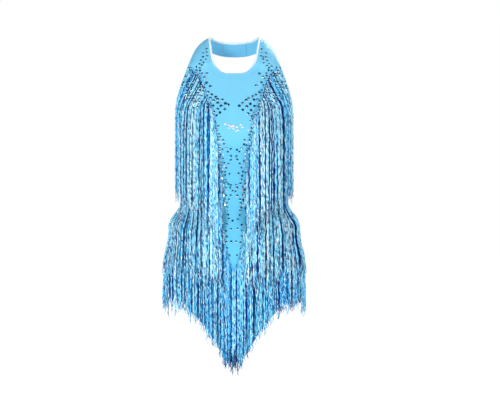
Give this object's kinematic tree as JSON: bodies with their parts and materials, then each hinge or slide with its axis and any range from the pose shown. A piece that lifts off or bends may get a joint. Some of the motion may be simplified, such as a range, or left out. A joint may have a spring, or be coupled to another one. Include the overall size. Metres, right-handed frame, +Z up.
{
  "type": "fringe dance bodysuit",
  "caption": "Hollow halter bodysuit of stretch cloth in its worn shape, with a scooped neck, an open back and tiers of hanging fringe that end in a V below the hips.",
  "frame": {"origin": "at the nape, on the inner face of the neck band at the middle of its upper edge, where the wearer's neck holds the bodysuit up", "axes": "+Z up, the wearer faces -Y, +X is the wearer's left"},
  "size_m": [0.321, 0.2497, 0.7499],
  "materials": {
    "stretch_cloth": "smooth matt stretch knit with a faint sheen",
    "neck_binding": "narrow pale folded binding",
    "fringe_strand": "twisted strands with a glittering thread",
    "rhinestone": "foil-backed cut stones"
  },
  "bodies": {
    "root": {"front_panel": "stretch_cloth", "back_panel": "stretch_cloth", "gusset": "stretch_cloth", "neck_band": "stretch_cloth", "neck_binding": "neck_binding", "chest_fringe_left": "fringe_strand", "chest_fringe_right": "fringe_strand", "waist_fringe_left": "fringe_strand", "waist_fringe_right": "fringe_strand", "hip_fringe_left": "fringe_strand", "hip_fringe_right": "fringe_strand"}
  },
  "joints": []
}
